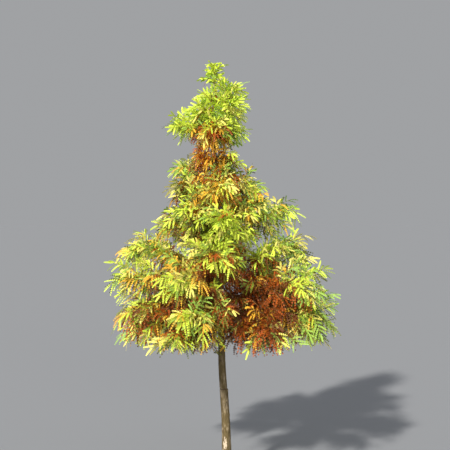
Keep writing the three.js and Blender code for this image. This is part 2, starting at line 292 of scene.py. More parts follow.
def make_limb(whorl, tier, i, draws):
    turn = math.radians(whorl.first_turn + 360 * i / whorl.count + draws.spread(TURN_JITTER))
    side = 1 + whorl.bias * math.cos(turn)
    reach = whorl.reach * side * (1 + draws.spread(REACH_JITTER))
    foot = trunk_axis(whorl.height + draws.spread(HEIGHT_JITTER))
    sweep = math.radians(draws.spread(SWEEP))
    spray = SPRAY_LENGTH_LEAST + SPRAY_LENGTH_PER_REACH * reach
    bough_end = BOUGH_SHARE if tier < WHORLS_WITH_BOUGHS else 0
    lift = FRONT_LIFTS[tier] if tier < len(FRONT_LIFTS) else 0
    rise = whorl.rise + lift * max(-math.sin(turn), 0)

    def path(t):
        t = np.asarray(t, float)[..., None]
        angle = turn + sweep * t * t
        run = np.concatenate([np.cos(angle), np.sin(angle), rise - whorl.droop * t], axis=-1)
        return foot + reach * t * run

    return Limb(
        path=path,
        reach=reach,
        foot_radius=LIMB_RADIUS_AT_FOOT + LIMB_RADIUS_PER_REACH * reach,
        taper=1 - LIMB_END_SHARE,
        bough_end=bough_end,
        stem_start=bough_end + GAP / reach if bough_end else 0,
        stem_end=1 - STEM_TIP_SHARE * spray / reach,
        twigs=max(round(reach / REACH_PER_TWIG), FEWEST_TWIGS),
        hang=whorl.hang,
        spread=max(SPREAD_PER_REACH * reach, SPREAD_LEAST),
        spray=spray,
        seed=SEED_PER_WHORL * (tier + 1) + SEED_PER_LIMB * i,
    )


def make_leader():
    foot = trunk_axis(TRUNK_TOP + GAP)

    def path(t):
        return foot + LEADER_LENGTH * np.asarray(t, float)[..., None] * UP

    return Limb(
        path=path,
        reach=LEADER_LENGTH,
        foot_radius=trunk_radius(TRUNK_TOP),
        taper=LEADER_TAPER,
        bough_end=0,
        stem_start=0,
        stem_end=1,
        twigs=FEWEST_TWIGS,
        hang=0,
        spread=LEADER_SPREAD,
        spray=LEADER_SPRAY,
        seed=LEADER_SEED,
        leader=True,
    )


def make_limbs():
    draws = Draws(LIMB_SEED)
    limbs = [make_limb(w, tier, i, draws) for tier, w in enumerate(WHORLS) for i in range(w.count)]
    return [*limbs, make_leader()]


def skirt_height(points):
    """The height of the crown's lower edge over or under points. It rises toward the front."""
    return SKIRT_HEIGHT + SKIRT_RISE * np.maximum(-points[..., 1], 0)


class Spaces:
    """The room of each mass: a point belongs to the limb whose path is nearest."""

    def __init__(self, limbs):
        knots = np.array([limb.path(np.linspace(0, 1, AXIS_POINTS + 1)) for limb in limbs])
        self.starts = knots[:, :-1]
        self.runs = knots[:, 1:] - knots[:, :-1]
        self.limbs = limbs

    def distances(self, points):
        """Distance of each point to each stretch of each limb's path."""
        offset = points[:, None, None] - self.starts
        share = np.clip(dot(offset, self.runs) / dot(self.runs, self.runs), 0, 1)
        return np.linalg.norm(offset - share * self.runs, axis=-1)

    def inside(self, own, points, thickness):
        """Whether each point keeps to the room of its own limb, clear of the trunk and the boughs."""
        distance = self.distances(points)
        near = distance[:, own].min(1)
        others = np.delete(distance.min(2), own, axis=1).min(1)
        height = np.clip(points[:, 2], 0, TRUNK_TOP)
        trunk = np.linalg.norm(trunk_axis(height) - points, axis=1) - trunk_radius(height)
        kept = points[:, 2] >= skirt_height(points) + thickness
        kept &= trunk >= thickness + LIMB_MARGIN
        kept &= others >= near + 2 * (thickness + SPACE_MARGIN)
        limb = self.limbs[own]
        stretches = math.ceil(limb.bough_end * AXIS_POINTS)
        if stretches:
            bough = distance[:, own, :stretches].min(1) - limb.foot_radius
            kept &= bough > thickness + LIMB_MARGIN
        return kept


@dataclass
class Twig:
    """A bent twig: its base, direction, length and sag, the side of its fan, and its radii."""

    base: np.ndarray
    heading: np.ndarray
    length: float
    sag: float
    side: np.ndarray = None
    radius: float = TWIG_RADIUS
    end_radius: float = TWIG_END_RADIUS

    def path(self, t):
        t = np.asarray(t, float)[..., None]
        return self.base + self.length * t * (self.heading - self.sag * t * UP)


def heading_from(path, t, turn, splay):
    """A direction that leaves a path at an angle, turned about it."""
    along, side, up = frames_along(path, t)
    turn, splay = math.radians(turn), math.radians(splay)
    sideways = unit(math.cos(turn) * side + TWIG_FLATNESS * math.sin(turn) * up)
    return math.sin(splay) * sideways + math.cos(splay) * along


def blade_corners(length, teeth):
    """A spray's outline and its two middle points, without its root: across, along and off its face."""
    sides = [(turn * x, y, 0) for x, y in teeth for turn in (1, -1)]
    outline = np.array([*sides, (0, 1, 0)]) * length
    middles = [(0, SPRAY_MIDDLE * length, turn * SPRAY_HALF_THICKNESS) for turn in (1, -1)]
    return np.vstack([outline, middles])


@dataclass
class Mass:
    """The twigs and sprays of one limb, grown by the rule of the part's source."""

    limb: Limb
    own: int
    spaces: Spaces
    twigs: list = field(default_factory=list)
    sprays: list = field(default_factory=list)

    def __post_init__(self):
        self.draws = Draws(self.limb.seed)
        for i in range(self.limb.twigs):
            self.add_twig(i)
        for i in range(1, self.limb.twigs):
            self.add_stem_spray(i)
        for back, splay, size, teeth in END_SPRAYS:
            heading = heading_from(self.limb.stem, 1, 0, splay)
            self.add_spray(self.limb.stem(1 - back), heading, size, teeth)

    def inside(self, points, thickness):
        return self.spaces.inside(self.own, points, thickness).all()

    def add_spray(self, base, heading, size, teeth):
        """The first of a few sprays, from steep and long to short, that keeps to its room."""
        turned = -1 if self.draws.draw() < 0.5 else 1
        roll = turned * math.radians(SPRAY_ROLL_LEAST + SPRAY_ROLL_RANGE * self.draws.draw())
        for hang, share in SPRAY_TRIES:
            along = unit(heading - hang * self.limb.hang * UP)
            level = unit(np.cross(along, UP))
            side = math.cos(roll) * level + math.sin(roll) * np.cross(along, level)
            length = share * size * self.limb.spray
            corners = blade_corners(length, teeth) @ np.array([side, along, np.cross(side, along)])
            if self.inside(base - SPRAY_ROOT_DEPTH * along + corners, 0):
                self.sprays.append(Twig(base, along, length, 0, side))
                return

    def twig_that_fits(self, base, heading, full):
        for share in TWIG_LENGTH_TRIES:
            length = full * share - TWIG_TIP_SHARE * self.limb.spray
            if length < TWIG_LEAST:
                return None
            twig = Twig(base, heading, length, TWIG_SAG)
            if self.inside(twig.path(TWIG_TEST_PLACES), TWIG_RADIUS):
                return twig
        return None

    def add_twig(self, i):
        limb = self.limb
        share = (i + 0.5) / limb.twigs
        t = mix(FIRST_TWIG, LAST_TWIG, share)
        turn = TWIG_TURN * i + limb.seed + self.draws.spread(TWIG_TURN_JITTER)
        heading = heading_from(limb.stem, t, turn, TWIG_SPLAY - TWIG_SPLAY_LOSS * share)
        outline = math.sin(math.pi * (OUTLINE_START + OUTLINE_STRETCH * share))
        full = limb.spread * outline * (1 + self.draws.spread(TWIG_LENGTH_JITTER))
        twig = self.twig_that_fits(limb.stem(t), heading, full)
        if twig is None:
            self.add_spray(limb.stem(t), heading, 1, ONE_TOOTH)
            return
        twig.side = frames_along(twig.path, TWIG_SPRAY_PLACE)[1]
        self.twigs.append(twig)
        ahead = frames_along(twig.path, 1)[0]
        self.add_spray(twig.path(TWIG_END_SPRAY_PLACE), ahead, 1, ONE_TOOTH)
        if twig.length < TWIG_FORKED:
            return
        splay = TWIG_SPRAY_SPLAY if i % 2 else -TWIG_SPRAY_SPLAY
        lateral = heading_from(twig.path, TWIG_SPRAY_PLACE, 0, splay)
        self.add_spray(twig.path(TWIG_SPRAY_PLACE), lateral, TWIG_SPRAY_SIZE, ONE_TOOTH)

    def add_stem_spray(self, i):
        stem = self.limb.stem
        t = FIRST_TWIG + (LAST_TWIG - FIRST_TWIG) * i / self.limb.twigs
        turn = TWIG_TURN * i + self.limb.seed + STEM_SPRAY_TURN
        self.add_spray(stem(t), heading_from(stem, t, turn, STEM_SPRAY_SPLAY), STEM_SPRAY_SIZE, ONE_TOOTH)


# The rule carried on: side twigs between those of the rule, then fine sprays on all of them
FINE_SEED = 311
FINE_TURN = 137.5
FINE_TURN_JITTER = 25
SIDE_TURN = 200
SIDE_SPLAY = 68
SIDE_SPLAY_LOSS = 30
SIDE_SPLAY_JITTER = 12
SIDE_SIZE_JITTER = 0.25
SIDE_TRIES = [1, 0.84, 0.7, 0.56, 0.42, 0.3]
LONG_TRIES = [1.5, 1.25]
LONG_INSIDE = 0.68
SIDE_RADIUS = 0.0019
SIDE_END_RADIUS = 0.0009
FINE_SPLAY = 54
FINE_SPLAY_JITTER = 14
FINE_SIZE = 0.62
FINE_SIZE_JITTER = 0.3
FINE_TRIES = [1, 0.75, 0.5, 0.3]
FINE_TEST_PLACES = [0.4, 0.9]
FINE_FIRST_ON_STEM = 0.02
FINE_HANG_RANGE = (-0.25, 0.6)
FINE_FIRST_ON_TWIG = 0.16
FINE_ROLL = 1.3
SPRAY_TWIG_SHARE = 0.6
SPRAY_TWIG_SAG = 0.16
SPRAY_TWIG_RADIUS = 0.0011
SPRAY_TWIG_END_RADIUS = 0.0006
LEAST_CROWDING = 0.3
OPEN_REACH = 0.65
CROWN_FOOT = 0.7
CROWN_RADIUS = 0.68
CROWN_SHAPE = 0.75
CROWN_TOP_SHARE = 0.98


def outer_share(points):
    """How far out points lie, from 0 at the trunk to 1 at the crown's outline."""
    share = (points[:, 2] - CROWN_FOOT) / (CAD_BOX[1].z - CROWN_FOOT)
    outline = CROWN_RADIUS * (1 - np.clip(share, 0, CROWN_TOP_SHARE)) ** CROWN_SHAPE
    away = np.linalg.norm((points - trunk_axis(points[:, 2]))[:, :2], axis=1)
    return np.clip(away / outline, 0, 1)


def crowding(limb):
    """How much closer the twigs stand on the short limbs of the upper crown."""
    return mix(LEAST_CROWDING, 1, min(limb.reach / OPEN_REACH, 1))


def in_box(points, margin):
    """Whether points lie inside the solids' box, a margin away from its faces."""
    low, high = np.array(CAD_BOX[0]) + margin, np.array(CAD_BOX[1]) - margin
    return ((points > low) & (points < high)).all(-1)


def first_that_fits(mass, twig, tries, places):
    """The twig at the first of a few shares of its length that keeps to its room, or None."""
    full = twig.length
    for share in tries:
        twig.length = full * share
        points = twig.path(places)
        if mass.inside(points, -SPACE_MARGIN) and in_box(points, SPACE_MARGIN).all():
            return twig
    return None


def add_side_twigs(mass, spacing, random):
    """Twigs that leave the stem between those of the rule, longer where they point into open room."""
    limb = mass.limb
    length = limb.stem_length()
    for i, t in enumerate(np.arange(0.5 * spacing, length, spacing) / length):
        turn = SIDE_TURN + FINE_TURN * i + limb.seed + jitter(random, FINE_TURN_JITTER)
        splay = SIDE_SPLAY - SIDE_SPLAY_LOSS * t + jitter(random, SIDE_SPLAY_JITTER)
        heading = heading_from(limb.stem, t, turn, splay)
        outline = math.sin(math.pi * (OUTLINE_START + OUTLINE_STRETCH * t))
        full = limb.spread * outline * (1 + jitter(random, SIDE_SIZE_JITTER))
        twig = Twig(limb.stem(t), heading, full, TWIG_SAG, radius=SIDE_RADIUS, end_radius=SIDE_END_RADIUS)
        longer = [share for share in LONG_TRIES if outer_share(twig.path([share]))[0] < LONG_INSIDE]
        if first_that_fits(mass, twig, longer + SIDE_TRIES, TWIG_TEST_PLACES):
            twig.side = frames_along(twig.path, TWIG_SPRAY_PLACE)[1]
            mass.twigs.append(twig)


def add_fine_sprays(mass, path, length, first, spacing, random):
    """Short sprays that leave a stem or twig all round, and one at its end."""
    limb = mass.limb
    places = [*(np.arange(first * length, length - 0.5 * spacing, spacing) / length), 1]
    for i, t in enumerate(places):
        turn = FINE_TURN * i + limb.seed + jitter(random, FINE_TURN_JITTER)
        splay = FINE_SPLAY + jitter(random, FINE_SPLAY_JITTER) if t < 1 else 0
        heading = heading_from(path, t, turn, splay)
        along = unit(heading - limb.hang * random.uniform(*FINE_HANG_RANGE) * UP)
        level = unit(np.cross(along, UP))
        roll = jitter(random, FINE_ROLL)
        side = math.cos(roll) * level + math.sin(roll) * np.cross(along, level)
        size = limb.spray * FINE_SIZE * (1 + jitter(random, FINE_SIZE_JITTER))
        spray = first_that_fits(mass, Twig(path(t), along, size, 0, side), FINE_TRIES, FINE_TEST_PLACES)
        if spray:
            mass.sprays.append(spray)


@functools.cache
def grown_masses():
    """All masses of the tree, with the sprays of the rule and the finer ones."""
    finer = bpy.context.scene.cypress_twigs
    limbs = make_limbs()
    spaces = Spaces(limbs)
    random = np.random.default_rng(FINE_SEED)
    masses = [Mass(limb, own, spaces) for own, limb in enumerate(limbs)]
    for mass in masses:
        limb = mass.limb
        closer = crowding(limb)
        add_side_twigs(mass, closer * finer.side_spacing, random)
        spacing = closer * finer.stem_spacing
        add_fine_sprays(mass, limb.stem, limb.stem_length(), FINE_FIRST_ON_STEM, spacing, random)
        spacing = closer * finer.twig_spacing
        for twig in mass.twigs:
            add_fine_sprays(mass, twig.path, twig.length, FINE_FIRST_ON_TWIG, spacing, random)
    return masses


# Meshes
def mesh_piece(name, points, faces, material, smooth=False):
    """A new object from an array of points and an array of faces with the same number of corners each."""
    mesh = bpy.data.meshes.new(name)
    corners = faces.shape[1]
    mesh.vertices.add(len(points))
    mesh.vertices.foreach_set("co", np.ascontiguousarray(points, np.float32).ravel())
    mesh.loops.add(faces.size)
    mesh.loops.foreach_set("vertex_index", np.ascontiguousarray(faces, np.int32).ravel())
    mesh.polygons.add(len(faces))
    mesh.polygons.foreach_set("loop_start", np.arange(0, faces.size, corners, dtype=np.int32))
    mesh.polygons.foreach_set("use_smooth", np.full(len(faces), smooth))
    mesh.update(calc_edges=True)
    mesh.materials.append(material)
    piece = bpy.data.objects.new(name, mesh)
    bpy.context.scene.collection.objects.link(piece)
    return piece


def tubes(rings):
    """Points and triangles of closed tubes, from rings of points: tube, step, side, coordinate."""
    count, steps, sides = rings.shape[:3]
    side = np.arange(sides)
    after = (side + 1) % sides
    start = sides * np.arange(steps - 1)[:, None]
    a, b = start + side, start + after
    walls = np.stack([a, b, b + sides, a, b + sides, a + sides], axis=-1).reshape(-1, 3)
    fan = np.arange(1, sides - 1)
    foot = np.stack([0 * fan, fan + 1, fan], axis=1)
    tip = foot[:, ::-1] + sides * (steps - 1)
    faces = np.vstack([walls, foot, tip]) + steps * sides * np.arange(count)[:, None, None]
    return rings.reshape(-1, 3), faces.reshape(-1, 3)


def ring_points(path, t, radii, sides):
    """Rings round a path at the places t, with a radius for each place, or for each place and side."""
    _, side, up = frames_along(path, t)
    angle = 2 * np.pi * np.arange(sides) / sides
    radii = np.broadcast_to(np.atleast_2d(radii.T).T, (len(t), sides))[..., None]
    out = np.cos(angle)[None, :, None] * side[:, None] + np.sin(angle)[None, :, None] * up[:, None]
    return path(t)[:, None] + radii * out


def ridges(points, across, lengthwise, seed):
    """Height of bark ridges from 0 to 1 at points: narrow across, drawn out along the limb."""
    found = []
    for x, y, z in points:
        place = Vector((x / across + seed, y / across, z / lengthwise))
        found.append(1 - abs(noise.noise(place)) * 2)
    return np.clip(found, 0, 1)


def finish_piece(piece, slot, *nodes):
    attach(piece, ROOT)
    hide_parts(*nodes)


def nodes_named(start):
    return sorted(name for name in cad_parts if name.startswith(start))


# Materials. The Mix node's sockets for colours share their names with others, so they go by number
COLOUR_IN = (6, 7)
COLOUR_OUT = 2
BARK_BUMP = 0.5
BARK_BUMP_PER_STREAK = 0.25


def principled(name, roughness, specular):
    material = bpy.data.materials.new(name)
    material.use_nodes = True
    shader = material.node_tree.nodes["Principled BSDF"]
    shader.inputs["Roughness"].default_value = roughness
    shader.inputs["Specular IOR Level"].default_value = specular
    return material, shader


def plain_material(name, colour, roughness, specular):
    material, shader = principled(name, roughness, specular)
    shader.inputs["Base Color"].default_value = (*colour, 1)
    return material


def stretched_coordinates(tree, across, lengthwise):
    """Object coordinates in which the pattern is drawn out along the trunk."""
    place = tree.nodes.new("ShaderNodeTexCoord")
    mapping = tree.nodes.new("ShaderNodeMapping")
    mapping.inputs["Scale"].default_value = (1 / across, 1 / across, 1 / lengthwise)
    tree.links.new(place.outputs["Object"], mapping.inputs["Vector"])
    return mapping.outputs["Vector"]


def noise_factor(tree, across, lengthwise, detail):
    texture = tree.nodes.new("ShaderNodeTexNoise")
    texture.inputs["Scale"].default_value = 1
    texture.inputs["Detail"].default_value = detail
    tree.links.new(stretched_coordinates(tree, across, lengthwise), texture.inputs["Vector"])
    return texture.outputs["Fac"]


def ramp(tree, factor, stops):
    """A colour ramp with stops of (place, colour)."""
    node = tree.nodes.new("ShaderNodeValToRGB")
    elements = node.color_ramp.elements
    while len(elements) < len(stops):
        elements.new(0.5)
    for element, (place, colour) in zip(elements, stops):
        element.position = place
        element.color = (*colour, 1)
    tree.links.new(factor, node.inputs["Fac"])
    return node.outputs["Color"]


def mixed_colour(tree, factor, first, second):
    node = tree.nodes.new("ShaderNodeMix")
    node.data_type = "RGBA"
    tree.links.new(factor, node.inputs["Factor"])
    for place, colour in zip(COLOUR_IN, (first, second)):
        tree.links.new(colour, node.inputs[place])
    return node.outputs[COLOUR_OUT]


def bark_material(name, look):
    """Fibrous bark: streaks along the trunk, with pale patches and fine roughness."""
    material, shader = principled(name, roughness=0.9, specular=0.25)
    tree = material.node_tree
    streaks = noise_factor(tree, look.streak_width, look.streak_length, detail=6)
    patches = noise_factor(tree, look.patch_width, look.patch_length, detail=3)
    tones = [(0.32, look.groove_colour), (0.55, look.bark_colour), (0.75, look.ridge_colour)]
    ground = ramp(tree, streaks, tones)
    pale = ramp(tree, streaks, [(0.35, look.bark_colour), (0.7, look.patch_colour)])
    where = ramp(tree, patches, [(0.52, (0, 0, 0)), (0.68, (1, 1, 1))])
    tree.links.new(mixed_colour(tree, where, ground, pale), shader.inputs["Base Color"])
    bump = tree.nodes.new("ShaderNodeBump")
    bump.inputs["Strength"].default_value = BARK_BUMP
    bump.inputs["Distance"].default_value = BARK_BUMP_PER_STREAK * look.streak_width
    tree.links.new(streaks, bump.inputs["Height"])
    tree.links.new(bump.outputs["Normal"], shader.inputs["Normal"])
    return material


# Settings that a user would change
def colour_property(name, description, default):
    return FloatVectorProperty(
        name=name, description=description, default=default, size=3, min=0, max=1, subtype="COLOR"
    )


def length_property(name, description, default):
    return FloatProperty(
        name=name, description=description, default=default, min=0.0001, unit="LENGTH", subtype="DISTANCE"
    )


def count_property(name, description, default, least):
    return IntProperty(name=name, description=description, default=default, min=least)


class BarkSettings(PropertyGroup):
    """Relief and colours of the trunk's bark"""

    sides: count_property("Sides", "Points round the trunk", 48, 12)
    ring_step: length_property("Ring step", "Height between two rings of the trunk", 0.005)
    relief: length_property("Relief", "Depth of the bark's furrows", 0.0014)
    streak_width: length_property("Streak width", "Width of the colour streaks", 0.003)
    streak_length: length_property("Streak length", "Length of the colour streaks", 0.03)
    patch_width: length_property("Patch width", "Width of the pale patches", 0.03)
    patch_length: length_property("Patch length", "Length of the pale patches", 0.09)
    groove_colour: colour_property("Grooves", "Colour deep in the bark", (0.062, 0.044, 0.021))
    bark_colour: colour_property("Bark", "Main colour of the bark", (0.137, 0.1, 0.044))
    ridge_colour: colour_property("Ridges", "Colour of the bark's ridges", (0.24, 0.187, 0.094))
    patch_colour: colour_property("Patches", "Colour of the pale patches", (0.56, 0.46, 0.34))
    scar_colour: colour_property("Scars", "Colour of the ring scar and of knots", (0.09, 0.06, 0.04))


class BoughSettings(PropertyGroup):
    """Relief and colours of the boughs' bark"""

    sides: count_property("Sides", "Points round a bough", 8, 5)
    steps: count_property("Steps", "Rings along a bough", 30, 4)
    relief: length_property("Relief", "Depth of the bark's furrows", 0.0006)
    collar: length_property("Collar", "How far the swelling at the trunk reaches", 0.012)
    streak_width: length_property("Streak width", "Width of the colour streaks", 0.002)
    streak_length: length_property("Streak length", "Length of the colour streaks", 0.008)
    patch_width: length_property("Patch width", "Width of the pale patches", 0.03)
    patch_length: length_property("Patch length", "Length of the pale patches", 0.04)
    groove_colour: colour_property("Grooves", "Colour deep in the bark", (0.13, 0.066, 0.035))
    bark_colour: colour_property("Bark", "Main colour of the bark", (0.29, 0.165, 0.09))
    ridge_colour: colour_property("Ridges", "Colour of the bark's ridges", (0.41, 0.26, 0.15))
    patch_colour: colour_property("Patches", "Colour of the pale patches", (0.46, 0.34, 0.24))


class TwigSettings(PropertyGroup):
    """Spacing and colour of the twigs"""

    side_spacing: length_property("Side twigs", "Distance between the side twigs of a stem", 0.034)
    stem_spacing: length_property("On stems", "Distance between fine sprays on a stem", 0.02)
    twig_spacing: length_property("On twigs", "Distance between fine sprays on a twig", 0.027)
    colour: colour_property("Twigs", "Colour of the young twigs", (0.34, 0.23, 0.08))


class NeedleSettings(PropertyGroup):
    """Sizes and tints of the strands and their needles"""

    strand_spacing: length_property("Strand spacing", "Distance between strands along a twig", 0.0101)
    strand_length: length_property("Strand length", "Length of a strand of needles", 0.062)
    needle_length: length_property("Needle length", "Length of the longest needles", 0.0114)
    needle_width: length_property("Needle width", "Width of a needle", 0.0052)
    pairs: count_property("Pairs", "Pairs of needles on a bright strand", 7, 3)
    dark_pairs: count_property("Dark pairs", "Pairs of needles on a dark strand", 5, 3)
    # Lime is partly painted sunlight: it is made bright to stand for sprays in full sun.
    lime: colour_property("Lime", "Sunlit young sprays", (0.64, 0.79, 0.075))
    # Yellow green is partly painted highlight: a pale tint that stands for sprays the sun catches, and
    # partly sprays that begin to turn.
    yellow_and_highlight: colour_property("Yellow green", "Sprays that begin to turn", (0.78, 0.72, 0.16))
    # Fresh green is partly painted shade, a deeper green dealt out between the sprays and on the crown's
    # right side, and partly full green sprays.
    fresh: colour_property("Fresh green", "Full green sprays", (0.3, 0.48, 0.075))
    # Olive is partly painted shade, darkened to stand for the shade inside the crown, and partly the
    # colour of older inner sprays.
    olive_and_shade: colour_property("Olive", "Older inner sprays", (0.13, 0.15, 0.018))
    gold: colour_property("Gold", "Turning sprays", (0.8, 0.45, 0.04))
    # Rust and brown are partly painted shade, darkened where the clump above shades the dry sprays, and
    # partly the dry sprays' own colour.
    rust: colour_property("Rust", "Dry sprays", (0.37, 0.08, 0.008))
    brown_and_shade: colour_property("Brown", "Old dry sprays", (0.12, 0.034, 0.005))


class StageSettings(PropertyGroup):
    """Camera, floor and light"""

    eye_height: length_property("Eye height", "Height of the camera", 1.55)
    distance: length_property("Distance", "Distance of the camera from the trunk", 4.3)
    lens: FloatProperty(name="Lens", description="Focal length", default=57.0, min=1, unit="CAMERA")
    aim_height: length_property("Aim height", "Height of the point at the picture's middle", 1.532)
    aim_across: FloatProperty(
        name="Aim across",
        description="How far right of the trunk the camera stands",
        default=-0.009,
        unit="LENGTH",
    )
    sky_colour: colour_property("Surroundings", "Colour of the light all round", (0.95, 0.97, 1.0))


# Trunk
KNOT_SEED = 311
KNOTS = 8
KNOT_LOWEST = 0.1
KNOT_HIGHEST = 0.74
KNOT_PLACE_JITTER = 0.03
KNOT_HEIGHT = 0.0032
KNOT_WIDTH = 0.011
KNOT_SIZE_JITTER = 0.3
KNOT_HOLLOW = 0.6
KNOT_HOLLOW_SHARPNESS = 2.6
KNOT_DARK = 0.38
RING_SCAR = 0.543
RING_SCAR_WIDTH = 0.0045
RING_SCAR_DEPTH = 0.0018
RING_SCAR_DARK = 0.0025
SHOULDER = 0.0055
SHOULDER_FADE = 0.07
FLAKE_CENTRE = (-0.012, -0.027, 0.22)
FLAKE_RADII = (0.014, 0.012, 0.04)
FLAKE_RIDGE = 0.52
TRUNK_NOISE_SEED = 3.7
WIDE_FURROW = 0.009
LONG_FURROW = 0.09
FINE_FURROW = 0.0035
SHORT_FURROW = 0.03
WIDE_FURROW_SHARE = 0.65
WIDE_FURROW_SHARPNESS = 1.5
FURROW_LEVEL = 0.6
YOUNG_BARK_RELIEF = 0.25


@dataclass
class Knot:
    """A small swelling with a dark hollow, where a shed twig has left its scar."""

    height: float
    turn: float
    size: float

    def distance(self, points):
        """Distance of points from the knot's middle, in knot sizes."""
        turn = math.radians(self.turn)
        out = np.array([math.cos(turn), math.sin(turn), 0])
        middle = trunk_axis(self.height) + trunk_radius(self.height) * out
        return np.linalg.norm(points - middle, axis=1) / self.size


FRONT_KNOT = Knot(height=0.464, turn=-68, size=0.009)


def knot_distance(points):
    """Distance of points from the nearest knot, in knot sizes."""
    random = np.random.default_rng(KNOT_SEED)
    heights = np.linspace(KNOT_LOWEST, KNOT_HIGHEST, KNOTS) + jitter(random, KNOT_PLACE_JITTER, KNOTS)
    turns = random.uniform(0, 360, KNOTS)
    sizes = KNOT_WIDTH * (1 + jitter(random, KNOT_SIZE_JITTER, KNOTS))
    knots = [FRONT_KNOT, *(Knot(*values) for values in zip(heights, turns, sizes))]
    return np.min([knot.distance(points) for knot in knots], axis=0)


def knot_relief(near):
    hollow = KNOT_HOLLOW * np.exp(-((KNOT_HOLLOW_SHARPNESS * near) ** 2))
    return KNOT_HEIGHT * (np.exp(-(near**2)) - hollow)


def furrow_relief(wide, fine, thickness):
    """Relief of the bark from its wide and fine ridges, flatter where the trunk is thin."""
    bark = mix(fine, wide**WIDE_FURROW_SHARPNESS, WIDE_FURROW_SHARE) - FURROW_LEVEL
    return bark.reshape(thickness.shape) * np.clip(thickness / TRUNK_RADIUS, YOUNG_BARK_RELIEF, 1)


def ring_relief(heights, angle):
    """A groove right round the trunk, and a shoulder under it on the right side."""
    below = np.maximum(RING_SCAR - heights, 0)[:, None]
    groove = RING_SCAR_DEPTH * np.exp(-(((heights - RING_SCAR) / RING_SCAR_WIDTH) ** 2))[:, None]
    shoulder = SHOULDER * np.exp(-below / SHOULDER_FADE) * (below > 0)
    return shoulder * (0.5 + 0.5 * np.cos(angle)) - groove


def bark_marks(points, near, fine):
    """For each point of the trunk 1 where the bark is dark, 2 where a pale flake lies, or else 0."""
    dark = (near < KNOT_DARK) | (np.abs(points[:, 2] - RING_SCAR) < RING_SCAR_DARK)
    flake = np.linalg.norm((points - FLAKE_CENTRE) / FLAKE_RADII, axis=1) < 1
    return np.where(flake & (fine > FLAKE_RIDGE), 2, dark).astype(np.int32)


class CYPRESS_OT_trunk(Operator):
    """Make the trunk with the relief of its bark"""

    bl_idname = "cypress.trunk"
    bl_label = "Make Trunk"

    def execute(self, context):
        look = context.scene.cypress_bark
        heights = np.linspace(0, TRUNK_TOP, round(TRUNK_TOP / look.ring_step))
        angle = 2 * np.pi * np.arange(look.sides) / look.sides
        fluting = FLUTE_DEPTH * np.exp(-heights / FLARE_HEIGHT)[:, None]
        radii = trunk_radius(heights)[:, None] * (1 + fluting * np.cos(FLUTES * angle))
        out = np.stack([np.cos(angle), np.sin(angle), np.zeros(look.sides)], axis=-1)
        smooth = trunk_axis(heights)[:, None] + radii[..., None] * out
        flat = smooth.reshape(-1, 3)
        wide = ridges(flat, WIDE_FURROW, LONG_FURROW, TRUNK_NOISE_SEED)
        fine = ridges(flat, FINE_FURROW, SHORT_FURROW, -TRUNK_NOISE_SEED)
        near = knot_distance(flat)
        relief = look.relief * furrow_relief(wide, fine, radii)
        relief += knot_relief(near).reshape(radii.shape) + ring_relief(heights, angle)
        points, faces = tubes((smooth + relief[..., None] * out)[None])
        piece = mesh_piece("trunk_bark", points, faces, bark_material("bark", look), smooth=True)
        for name, colour in (("bark_scar", look.scar_colour), ("bark_flake", look.patch_colour)):
            piece.data.materials.append(plain_material(name, colour, roughness=0.9, specular=0.2))
        marks = bark_marks(flat, near, fine)
        piece.data.polygons.foreach_set("material_index", marks[faces[:, 0]])
        finish_piece(piece, "trunk_bark", "trunk")
        return {"FINISHED"}


# Boughs
STEM_THINNING = 0.45
STEM_THINNING_REACH = 0.3
COLLAR_SWELLING = 0.7
BOUGH_START = 0.5
BOUGH_FURROW_LEVEL = 0.7
RINGS_GATHERED = 1.2


def bough_rings(limb, look):
    """Rings of one limb, from inside the trunk to the tip of its stem, with a collar at the trunk."""
    trunk = trunk_radius(limb.path(0)[2])
    start = 0 if limb.leader else BOUGH_START * trunk / limb.reach
    t = mix(start, limb.stem_end, np.linspace(0, 1, look.steps) ** RINGS_GATHERED)
    beyond = np.maximum(t * limb.reach - trunk, 0)
    slimmer = 1 - STEM_THINNING * np.clip((t - limb.bough_end) / STEM_THINNING_REACH, 0, 1)
    radii = limb.radius(t) * slimmer * (1 + COLLAR_SWELLING * np.exp(-beyond / look.collar))
    smooth = ring_points(limb.path, t, radii, look.sides)
    flat = smooth.reshape(-1, 3)
    bark = ridges(flat, FINE_FURROW, 2 * FINE_FURROW, limb.seed).reshape(len(t), look.sides)
    rough = radii[:, None] + (bark - BOUGH_FURROW_LEVEL) * look.relief
    return ring_points(limb.path, t, rough, look.sides)


class CYPRESS_OT_boughs(Operator):
    """Make the boughs and the stems that carry them on through the foliage"""

    bl_idname = "cypress.boughs"
    bl_label = "Make Boughs"

    def execute(self, context):
        look = context.scene.cypress_boughs
        rings = np.array([bough_rings(mass.limb, look) for mass in grown_masses()])
        points, faces = tubes(rings)
        piece = mesh_piece("bough_bark", points, faces, bark_material("young_bark", look), smooth=True)
        finish_piece(piece, "bough_bark", *nodes_named("bough_"))
        return {"FINISHED"}


# Twigs
TWIG_SIDES = 5
TWIG_RINGS = 6
FINE_SIDES = 3
FINE_RINGS = 3


def spray_twig(spray):
    """The fine twig that carries a spray's strands."""
    length = SPRAY_TWIG_SHARE * spray.length
    radii = (SPRAY_TWIG_RADIUS, SPRAY_TWIG_END_RADIUS)
    return Twig(spray.base, spray.heading, length, SPRAY_TWIG_SAG, spray.side, *radii)


def twig_tubes(twigs, rings, sides):
    """Points and triangles of twigs that taper to their tips."""
    t = np.linspace(0, 1, rings)
    radii = [mix(twig.radius, twig.end_radius, t) for twig in twigs]
    return tubes(np.array([ring_points(w.path, t, r, sides) for w, r in zip(twigs, radii)]))


